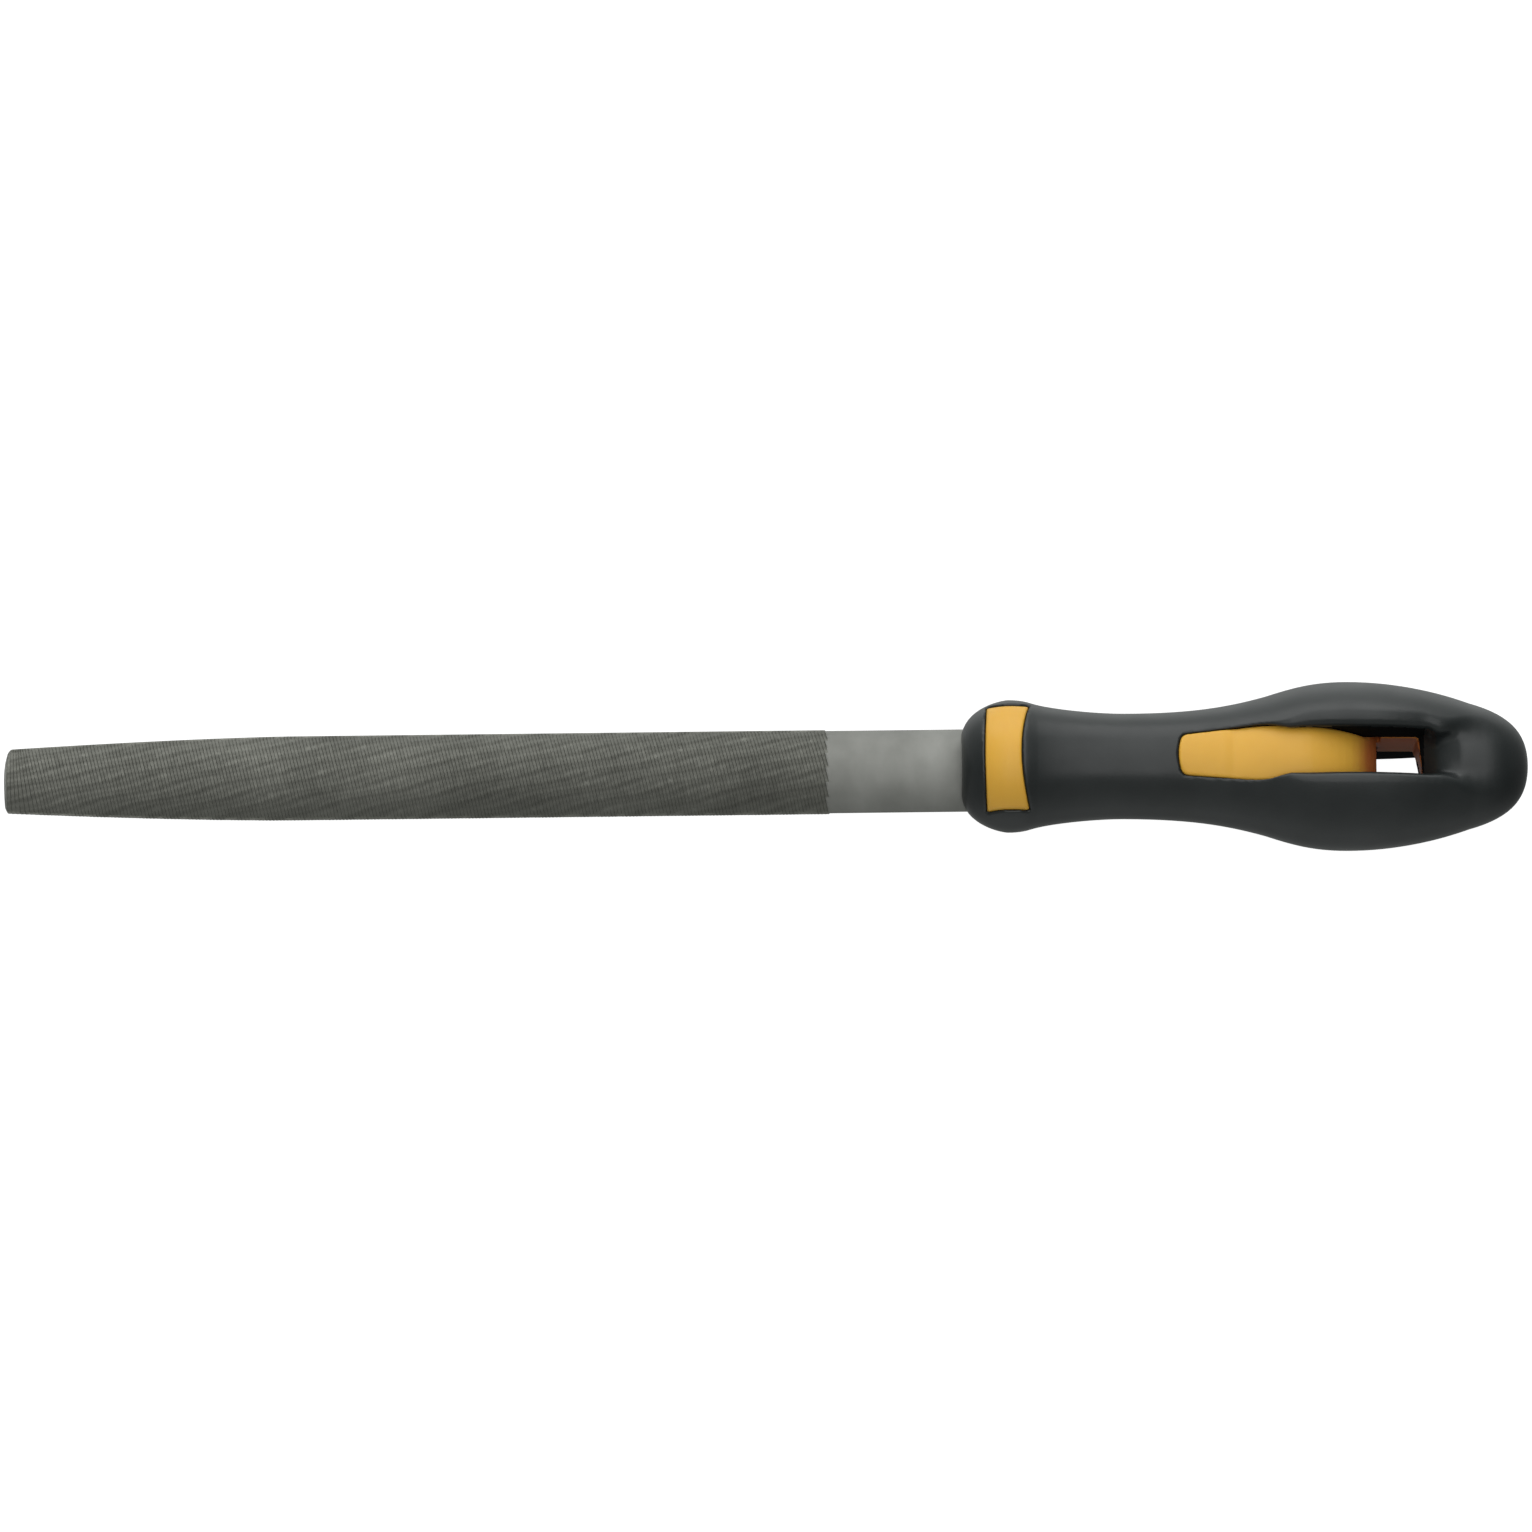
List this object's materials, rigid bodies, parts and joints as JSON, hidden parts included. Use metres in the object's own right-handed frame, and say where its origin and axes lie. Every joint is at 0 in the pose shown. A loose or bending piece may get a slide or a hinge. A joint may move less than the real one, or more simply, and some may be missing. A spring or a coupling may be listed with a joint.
{
  "type": "half-round hand file",
  "caption": "Half-round second-cut hand file with a smooth heel, in a two-component plastic handle with a hanging hole.",
  "frame": {"origin": "centre of the overall box in plan, at the height of the lips of the lower handle window", "axes": "+X along the tool from the blade's tip to the handle's butt, +Z out of the round side of the blade"},
  "size_m": [0.3184, 0.0354, 0.034],
  "materials": {
    "file_steel": "hardened steel, dull grey, cut teeth and a finely ground heel",
    "hard_plastic": "yellow, satin to half gloss, smooth",
    "soft_plastic": "dark grey soft overmoulding, satin"
  },
  "bodies": {
    "root": {"file_blade": "file_steel", "handle_core": "hard_plastic", "soft_grip": "soft_plastic"}
  },
  "joints": []
}
